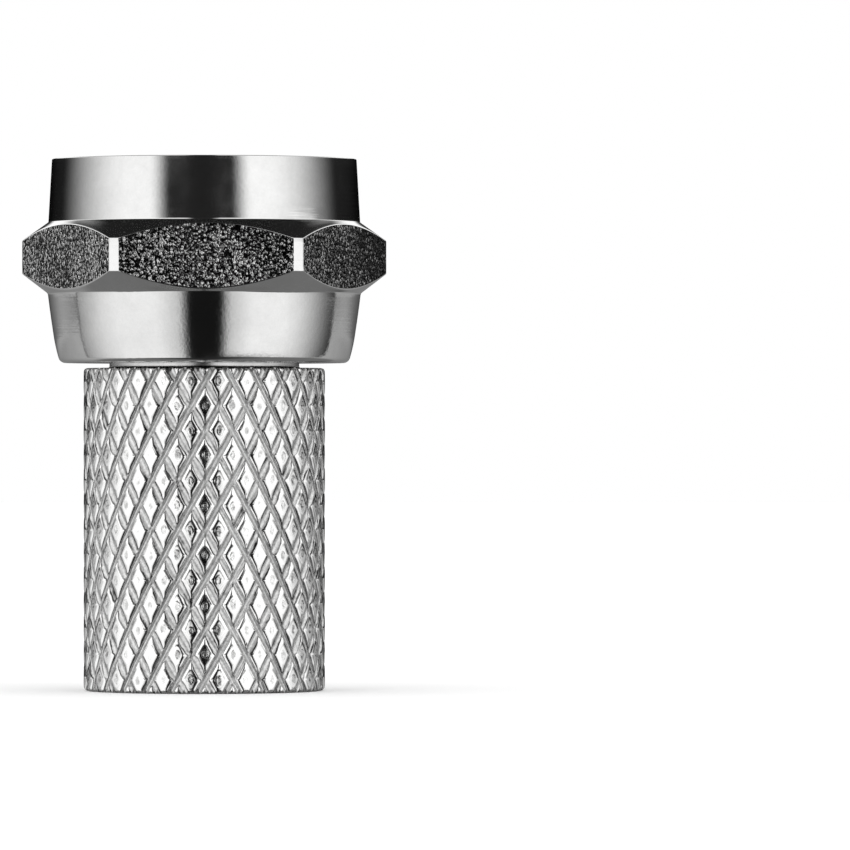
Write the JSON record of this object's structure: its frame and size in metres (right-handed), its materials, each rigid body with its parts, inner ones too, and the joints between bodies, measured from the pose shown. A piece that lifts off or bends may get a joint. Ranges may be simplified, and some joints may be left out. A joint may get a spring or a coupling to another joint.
{
  "type": "f connector plug",
  "caption": "Straight twist-on coaxial cable plug: a diamond-knurled sleeve with a free-turning hexagon coupling nut held by a flanged ferrule.",
  "frame": {"origin": "on the plug's axis at the barrel's cable end, where it stands", "axes": "+Z along the axis towards the nut's open mouth"},
  "size_m": [0.0136, 0.0122, 0.0199],
  "materials": {
    "body_metal": "nickel plated, satin knurl",
    "ferrule_metal": "nickel plated, polished",
    "nut_metal": "nickel plated, polished bands and sawn-grained flats"
  },
  "bodies": {
    "body": {"knurled_body": "body_metal", "ferrule": "ferrule_metal"},
    "nut": {"coupling_nut": "nut_metal"}
  },
  "joints": [
    {"name": "nut_spin", "type": "hinge", "parent": "body", "child": "nut", "pos_m": [0, 0, 0.0128], "axis": [0, 0, 1], "continuous": true}
  ]
}
